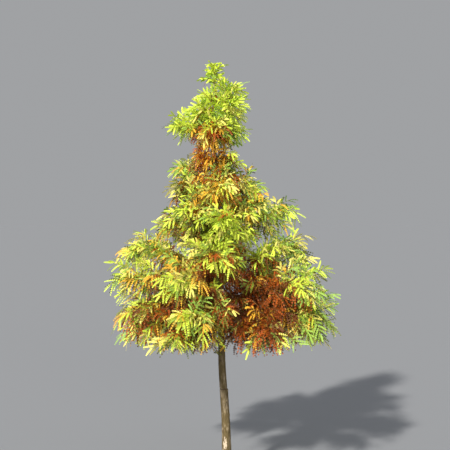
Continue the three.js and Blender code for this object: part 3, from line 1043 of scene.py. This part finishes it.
class CYPRESS_OT_twigs(Operator):
    """Make the twigs and the fine twigs that carry the strands"""

    bl_idname = "cypress.twigs"
    bl_label = "Make Twigs"

    def execute(self, context):
        colour = context.scene.cypress_twigs.colour
        material = plain_material("twig_wood", colour, roughness=0.7, specular=0.3)
        twigs = [twig for mass in grown_masses() for twig in mass.twigs]
        fine_twigs = [spray_twig(spray) for mass in grown_masses() for spray in mass.sprays]
        points, faces = twig_tubes(twigs, TWIG_RINGS, TWIG_SIDES)
        fine_points, fine_faces = twig_tubes(fine_twigs, FINE_RINGS, FINE_SIDES)
        faces = np.vstack([faces, fine_faces + len(points)])
        piece = mesh_piece("twig_wood", np.vstack([points, fine_points]), faces, material, smooth=True)
        finish_piece(piece, "bough_bark", *nodes_named("sprays_"))
        return {"FINISHED"}


# Tints: each spray takes one, by how far out it is and by the zone of the crown that it lies in
@dataclass
class TintZone:
    """A soft ellipsoid of the crown with a mixture of its own, and the share of sprays that follow it."""

    centre: tuple
    radii: tuple
    mixture: str
    strength: float


TINT_ZONES = [
    TintZone((-0.42, -0.15, 1.15), (0.3, 0.5, 0.35), "gold", 0.1),
    TintZone((-0.05, 0.0, 1.02), (0.5, 0.5, 0.32), "rust", 0.45),
    TintZone((-0.1, 0.3, 1.15), (0.25, 0.25, 0.25), "rust", 0.6),
    TintZone((-0.08, -0.05, 1.72), (0.16, 0.2, 0.16), "gold", 0.75),
    TintZone((-0.02, -0.3, 1.37), (0.14, 0.25, 0.08), "rust", 0.55),
    TintZone((-0.13, -0.3, 1.28), (0.06, 0.25, 0.12), "rust", 0.7),
    TintZone((-0.285, -0.25, 1.34), (0.06, 0.2, 0.06), "rust", 0.8),
    TintZone((-0.24, -0.3, 1.06), (0.17, 0.27, 0.12), "rust", 0.8),
    TintZone((-0.46, -0.15, 0.98), (0.06, 0.2, 0.05), "rust", 0.7),
    TintZone((-0.12, -0.3, 0.91), (0.09, 0.25, 0.06), "rust", 0.8),
    # Partly painted shade on the crown's right side, and partly its greener sprays: the green mixture
    # deals darker greens and olive here.
    TintZone((0.5, -0.1, 1.2), (0.22, 0.5, 0.45), "green", 0.8),
    # Dry sprays at the lower right, in the rust mixture, which is partly painted shade.
    TintZone((0.19, -0.25, 1.08), (0.24, 0.42, 0.25), "rust", 0.93),
    # The four lime zones that follow, on the front clump and the crest, are partly painted sunlight.
    TintZone((0.2, -0.15, 1.4), (0.12, 0.22, 0.07), "lime", 0.9),
    TintZone((-0.07, -0.05, 2.3), (0.34, 0.34, 0.28), "lime", 0.9),
    TintZone((-0.33, 0.0, 2.1), (0.14, 0.2, 0.12), "lime", 0.9),
    TintZone((-0.05, -0.3, 1.5), (0.16, 0.22, 0.12), "lime", 0.95),
    TintZone((-0.1, -0.06, 2.02), (0.12, 0.17, 0.12), "orange", 1.0),
    TintZone((-0.14, -0.1, 1.87), (0.08, 0.14, 0.09), "orange", 0.85),
]
TINTS = ["lime", "yellow_and_highlight", "fresh", "olive_and_shade", "gold", "rust", "brown_and_shade"]
DRY_TINTS = ["gold", "rust", "brown_and_shade"]
DARK_TINTS = ["olive_and_shade", "rust", "brown_and_shade"]
# Shares of the tints in the order of TINTS
MIXTURES = {
    # The outer mixture, with much lime and yellow green, is partly painted sunlight on the crown's
    # outside. The inner one, with much olive and brown, is partly painted shade inside it.
    "outer": np.array([0.34, 0.25, 0.24, 0.1, 0.07, 0.0, 0.0]),
    "inner": np.array([0.11, 0.18, 0.09, 0.27, 0.13, 0.11, 0.11]),
    # Partly painted sunlight, for the front clump and the crest.
    "lime": np.array([0.76, 0.13, 0.1, 0.01, 0.0, 0.0, 0.0]),
    # Partly painted shade, for the crown's right side: darker greens and olive.
    "green": np.array([0.24, 0.2, 0.36, 0.2, 0.0, 0.0, 0.0]),
    "gold": np.array([0.06, 0.38, 0.0, 0.04, 0.42, 0.1, 0.0]),
    "orange": np.array([0.0, 0.15, 0.0, 0.0, 0.36, 0.42, 0.07]),
    # Much brown and little gold: partly painted shade, and partly the colour of dry sprays.
    "rust": np.array([0.0, 0.03, 0.0, 0.04, 0.07, 0.46, 0.4]),
}
ZONE_EDGE = 1.3
ZONE_FADE = 0.5
OUTER_SHARPNESS = 1.5
TINT_SEED = 77


def deal_tints(points, random):
    """The number of a tint for each point."""
    outer = outer_share(points)[:, None] ** OUTER_SHARPNESS
    shares = mix(MIXTURES["inner"], MIXTURES["outer"], outer)
    for zone in TINT_ZONES:
        depth = np.linalg.norm((points - zone.centre) / zone.radii, axis=1, keepdims=True)
        near = np.clip((ZONE_EDGE - depth) / ZONE_FADE, 0, 1)
        shares = mix(shares, MIXTURES[zone.mixture], near * zone.strength)
    limits = np.cumsum(shares, axis=1)
    return (random.random((len(points), 1)) > limits).sum(1).clip(0, len(TINTS) - 1)


# Strands: each is a bent thread with needles in two ranks
STRAND_SEED = 5
FEWEST_STRANDS = 2
FIRST_STRAND = 0.1
STRAND_SPLAY = 62
STRAND_SPLAY_LOSS = 34
STRAND_SPLAY_JITTER = 9
STRAND_TILT = 28
STRAND_SIZE_JITTER = 0.22
STRAND_SIZE_AT_ENDS = 0.75
STRAND_SHARE_OF_SPRAY = 0.48
STRAND_LEAST = 0.044
LONG_STRAND = 1.12
STRAND_MOST_OF_SPRAY = 0.55
STRAND_HANG_LEAST = 0.08
STRAND_HANG = 0.42
STRAND_HANG_RANGE = (-0.2, 1.4)
STRAND_TEST_PLACES = [0.6, 1]
FAN_TILT = 0.5
STEM_SIDE_PLACE = 0.5
TINT_PLACE = 0.7
SKIRT_FRINGE = 0.025
STEM_FROM = 0.1
LEADER_STEM_FROM = -0.85
STEM_STRAND_SPACING = 0.38
TWIG_STRAND_SPACING = 0.68
TWO_RANKS = 180
ALL_ROUND = 137.5
DRY_HANG = 0.35
THREAD_PLACES = [0, 0.5, 1]
THREAD_WIDTH = 0.003
THREAD_TAPER = 0.7
FIRST_PAIR = 0.08
LAST_PAIR = 0.96
NEEDLE_SPLAY = 43
NEEDLE_SPLAY_LOSS = 22
NEEDLE_WIDEST = 0.45
NEEDLE_FOLD = 0.3
RANK_OUTLINE_START = 0.14
RANK_OUTLINE_STRETCH = 0.74
END_NEEDLE = 0.7
END_NEEDLE_WIDEST = 0.4
TRIANGLES_PER_PIECE = 190_000


@dataclass
class Strands:
    """Arrays of strands: where each grows, which way, the side of its fan, its length, hang and tint."""

    base: np.ndarray
    heading: np.ndarray
    side: np.ndarray
    length: np.ndarray
    hang: np.ndarray
    tint: np.ndarray

    def of(self, chosen):
        return Strands(*(values[chosen] for values in vars(self).values()))

    def path(self, t):
        """Points of all strands at the places t: strand, place, coordinate."""
        t = np.asarray(t, float)[None, :, None]
        length = self.length[:, None, None]
        run = self.heading[:, None] - self.hang[:, None, None] * t * UP
        return self.base[:, None] + length * t * run


def joined(parts):
    return Strands(*(np.concatenate(values) for values in zip(*(vars(part).values() for part in parts))))


@dataclass
class Bearer:
    """A twig or stem that carries strands, with their size, spacing, first place and turn about it."""

    path: Callable
    length: float
    side: np.ndarray
    size: float
    spacing: float
    first: float = FIRST_STRAND
    turn: float = ALL_ROUND

    def strands(self, hang, random):
        """Strands along it, each turned on from the one before, the last one at its tip."""
        count = max(round(self.length * (1 - self.first) / self.spacing), FEWEST_STRANDS)
        t = np.linspace(self.first, 1, count)
        along, _, _ = frames_along(self.path, t)
        side = unit(self.side - dot(along, self.side) * along)
        face = np.cross(side, along)
        splay = STRAND_SPLAY - STRAND_SPLAY_LOSS * t + jitter(random, STRAND_SPLAY_JITTER, count)
        splay = np.radians(np.where(t == 1, 0, splay))[:, None]
        turns = np.radians(self.turn * np.arange(count) + jitter(random, STRAND_TILT, count))[:, None]
        sideways = np.cos(turns) * side + np.sin(turns) * face
        heading = np.cos(splay) * along + np.sin(splay) * sideways
        sizes = self.size * mix(STRAND_SIZE_AT_ENDS, 1, np.sin(np.pi * t))
        sizes *= 1 + jitter(random, STRAND_SIZE_JITTER, count)
        hangs = STRAND_HANG_LEAST + STRAND_HANG * hang * random.uniform(*STRAND_HANG_RANGE, count)
        fan = np.cross(heading, np.cross(sideways, along)) + jitter(random, FAN_TILT, (count, 1)) * face
        return Strands(self.path(t), heading, fan, sizes, hangs, np.zeros(count, int))


def spray_bearer(spray, least, look):
    twig = spray_twig(spray)
    size = np.clip(STRAND_SHARE_OF_SPRAY * spray.length, least, look.strand_length)
    return Bearer(twig.path, twig.length, twig.side, size, look.strand_spacing, turn=TWO_RANKS)


def limb_bearers(mass, least, look):
    """The twigs of a mass and then its stem."""
    limb = mass.limb
    size = np.clip(STRAND_SHARE_OF_SPRAY * limb.spray, least, LONG_STRAND * look.strand_length)
    spacing = TWIG_STRAND_SPACING * look.strand_spacing
    twigs = [Bearer(twig.path, twig.length, twig.side, size, spacing) for twig in mass.twigs]
    side = frames_along(limb.stem, STEM_SIDE_PLACE)[1]
    spacing = STEM_STRAND_SPACING * look.strand_spacing
    first = LEADER_STEM_FROM if limb.leader else STEM_FROM
    return [*twigs, Bearer(limb.stem, limb.stem_length(), side, size, spacing, first)]


def strands_of_mass(mass, look, random, tints):
    """Strands of one tint on each spray, and strands of any tint on the twigs and the stem."""
    least = min(STRAND_LEAST, STRAND_MOST_OF_SPRAY * mass.limb.spray)
    parts = []
    for spray in mass.sprays:
        part = spray_bearer(spray, least, look).strands(mass.limb.hang, random)
        part.tint[:] = deal_tints(spray.path([TINT_PLACE]), tints)[0]
        parts.append(part)
    for bearer in limb_bearers(mass, least, look):
        part = bearer.strands(mass.limb.hang, random)
        part.tint[:] = deal_tints(part.path([1])[:, 0], tints)
        parts.append(part)
    return parts


def all_strands(look):
    """The strands of the whole tree that keep to the solids' box and to the crown's lower edge."""
    random = np.random.default_rng(STRAND_SEED)
    tints = np.random.default_rng(TINT_SEED)
    parts = [part for mass in grown_masses() for part in strands_of_mass(mass, look, random, tints)]
    strands = joined(parts)
    strands.hang += DRY_HANG * np.isin(strands.tint, [TINTS.index(tint) for tint in DRY_TINTS])
    tips = strands.path(STRAND_TEST_PLACES)
    fringe = jitter(random, SKIRT_FRINGE, (len(tips), 1))
    kept = in_box(tips, look.needle_length) & (tips[..., 2] > skirt_height(tips) + fringe)
    return strands.of(kept.all(1))


def needle_points(strands, look, pairs):
    """Corners of every needle: strand, needle, corner, coordinate. Fewer pairs have wider needles."""
    t = np.linspace(FIRST_PAIR, LAST_PAIR, pairs)
    places = strands.path(t)
    slope = strands.heading[:, None] - 2 * (strands.hang[:, None] * t)[..., None] * UP
    along = unit(slope)
    side = unit(strands.side[:, None] - dot(along, strands.side[:, None]) * along)
    face = np.cross(side, along)
    splay = np.radians(NEEDLE_SPLAY - NEEDLE_SPLAY_LOSS * t)[None, :, None]
    outline = np.sqrt(np.sin(np.pi * (RANK_OUTLINE_START + RANK_OUTLINE_STRETCH * t)))
    size = look.needle_length * outline[None, :, None]
    width = look.needle_width / 2 * look.pairs / pairs
    needles = []
    for turned in (1, -1):
        out = np.cos(splay) * along + turned * np.sin(splay) * side
        across = np.cross(face, out) * width
        middle = places + NEEDLE_WIDEST * size * out + NEEDLE_FOLD * width * face
        needles.append(np.stack([places, middle + across, places + size * out, middle - across], axis=2))
    end = places[:, -1:]
    forward = END_NEEDLE * look.needle_length * along[:, -1:]
    across = side[:, -1:] * width
    middle = end + END_NEEDLE_WIDEST * forward
    tip = np.stack([end, middle + across, end + forward, middle - across], axis=2)
    return np.concatenate([*needles, tip], axis=1)


def thread_points(strands):
    """Two edges of the narrow strip that carries a strand's needles: strand, point, coordinate."""
    t = np.array(THREAD_PLACES)
    middle = strands.path(t)
    across = (THREAD_WIDTH / 2 * (1 - THREAD_TAPER * t))[:, None] * strands.side[:, None]
    return np.stack([middle - across, middle + across], axis=2).reshape(len(middle), -1, 3)


def strand_mesh(strands, look, pairs):
    """Points and triangles of the needles and threads of some strands."""
    corners = needle_points(strands, look, pairs).reshape(-1, 4, 3)
    first = 4 * np.arange(len(corners))[:, None]
    halves = np.concatenate([first + [0, 1, 2], first + [0, 2, 3]])
    points = thread_points(strands)
    first = points.shape[1] * np.arange(len(points))[:, None] + 4 * len(corners)
    starts = 2 * np.arange(len(THREAD_PLACES) - 1)
    strips = [first + start + offset for start in starts for offset in ([0, 1, 3], [0, 3, 2])]
    return np.vstack([corners.reshape(-1, 3), points.reshape(-1, 3)]), np.vstack([halves, *strips])


def triangles_per_strand(pairs):
    """Two for each needle, one of which is at the tip, and two for each stretch of the thread."""
    return 2 * (2 * pairs + 1) + 2 * (len(THREAD_PLACES) - 1)


class CYPRESS_OT_needles(Operator):
    """Make the strands of needles, each tint in pieces of its own"""

    bl_idname = "cypress.needles"
    bl_label = "Make Needles"

    def execute(self, context):
        look = context.scene.cypress_needles
        strands = all_strands(look)
        for number, tint in enumerate(TINTS):
            pairs = look.dark_pairs if tint in DARK_TINTS else look.pairs
            slot = "foliage_rust" if tint in DRY_TINTS else "foliage_green"
            material = plain_material(f"needles_{tint}", getattr(look, tint), roughness=0.5, specular=0.3)
            chosen = np.flatnonzero(strands.tint == number)
            pieces = max(math.ceil(len(chosen) * triangles_per_strand(pairs) / TRIANGLES_PER_PIECE), 1)
            for i, part in enumerate(np.array_split(chosen, pieces)):
                points, faces = strand_mesh(strands.of(part), look, pairs)
                piece = mesh_piece(f"needles_{tint}_{i + 1}", points, faces, material)
                finish_piece(piece, slot, *nodes_named("sprays_"))
        return {"FINISHED"}


# Stage
FLOOR_HALF_WIDTH = 400
FLOOR_CORNERS = [(-1, -1, 0), (1, -1, 0), (1, 1, 0), (-1, 1, 0)]
# Place, strength, angle in degrees and colour of each light
LIGHTS = {
    "key": ((-0.48, -0.83, 0.68), 5.1, 3, (1.0, 0.95, 0.85)),
    "fill": ((0.3, -0.95, 0.14), 1.3, 30, (1.0, 0.97, 0.88)),
    "back": ((0.35, 0.9, 0.6), 1.0, 25, (1.0, 1.0, 0.95)),
}
SKY_STRENGTH = 0.37


def floor_colour(look):
    """The colour at which the lit floor is as bright as the surroundings, so that no horizon shows."""
    sky = SKY_STRENGTH * np.array(look.sky_colour)
    suns = np.zeros(3)
    for place, strength, _, colour in LIGHTS.values():
        suns += strength * unit(np.array(place))[2] * np.array(colour)
    return sky * np.pi / (suns + np.pi * sky)


def add_floor(look):
    points = FLOOR_HALF_WIDTH * np.array(FLOOR_CORNERS)
    material = plain_material("pale_floor", floor_colour(look), roughness=1, specular=0)
    mesh_piece("floor", points, np.array([[0, 1, 2, 3]]), material)


def aim(thing, place, target):
    thing.location = place
    thing.rotation_euler = (Vector(target) - Vector(place)).to_track_quat("-Z", "Y").to_euler()
    bpy.context.scene.collection.objects.link(thing)


def add_lights():
    """Soft distant lights, so that the floor is lit alike all over."""
    for name, (place, strength, angle, colour) in LIGHTS.items():
        light = bpy.data.lights.new(name, "SUN")
        light.energy = strength
        light.color = colour
        light.angle = math.radians(angle)
        aim(bpy.data.objects.new(name, light), place, (0, 0, 0))


def add_surroundings(look):
    world = bpy.data.worlds.new("surroundings")
    world.use_nodes = True
    background = world.node_tree.nodes["Background"]
    background.inputs["Color"].default_value = (*look.sky_colour, 1)
    background.inputs["Strength"].default_value = SKY_STRENGTH
    bpy.context.scene.world = world


def add_camera(look):
    data = bpy.data.cameras.new("camera")
    data.lens = look.lens
    camera = bpy.data.objects.new("camera", data)
    aim(camera, (look.aim_across, -look.distance, look.eye_height), (look.aim_across, 0, look.aim_height))
    bpy.context.scene.camera = camera


class CYPRESS_OT_stage(Operator):
    """Make the floor, the lights and the camera"""

    bl_idname = "cypress.stage"
    bl_label = "Make Stage"

    def execute(self, context):
        look = context.scene.cypress_stage
        add_camera(look)
        add_floor(look)
        add_lights()
        add_surroundings(look)
        context.scene.view_settings.view_transform = "Standard"
        return {"FINISHED"}


class CYPRESS_PT_tree(Panel):
    """Lists what the tree is made of"""

    bl_label = "Young Cypress"
    bl_idname = "CYPRESS_PT_tree"
    bl_space_type = "VIEW_3D"
    bl_region_type = "UI"
    bl_category = "Cypress"

    def draw(self, context):
        for operator, settings in PANEL_ROWS:
            box = self.layout.box()
            box.operator(operator.bl_idname)
            group = getattr(context.scene, settings)
            for name in group.__annotations__:
                box.prop(group, name)


SETTINGS = {
    "cypress_bark": BarkSettings,
    "cypress_boughs": BoughSettings,
    "cypress_twigs": TwigSettings,
    "cypress_needles": NeedleSettings,
    "cypress_stage": StageSettings,
}
OPERATORS = [CYPRESS_OT_trunk, CYPRESS_OT_boughs, CYPRESS_OT_twigs, CYPRESS_OT_needles, CYPRESS_OT_stage]
PANEL_ROWS = list(zip(OPERATORS, SETTINGS))
CLASSES = [*SETTINGS.values(), *OPERATORS, CYPRESS_PT_tree]


def register():
    for made in CLASSES:
        bpy.utils.register_class(made)
    for name, group in SETTINGS.items():
        setattr(bpy.types.Scene, name, PointerProperty(type=group))


def unregister():
    for name in SETTINGS:
        delattr(bpy.types.Scene, name)
    for made in reversed(CLASSES):
        bpy.utils.unregister_class(made)


def main():
    register()
    bpy.ops.cypress.stage()
    bpy.ops.cypress.trunk()
    bpy.ops.cypress.boughs()
    bpy.ops.cypress.twigs()
    bpy.ops.cypress.needles()


if __name__ == "__main__":
    main()
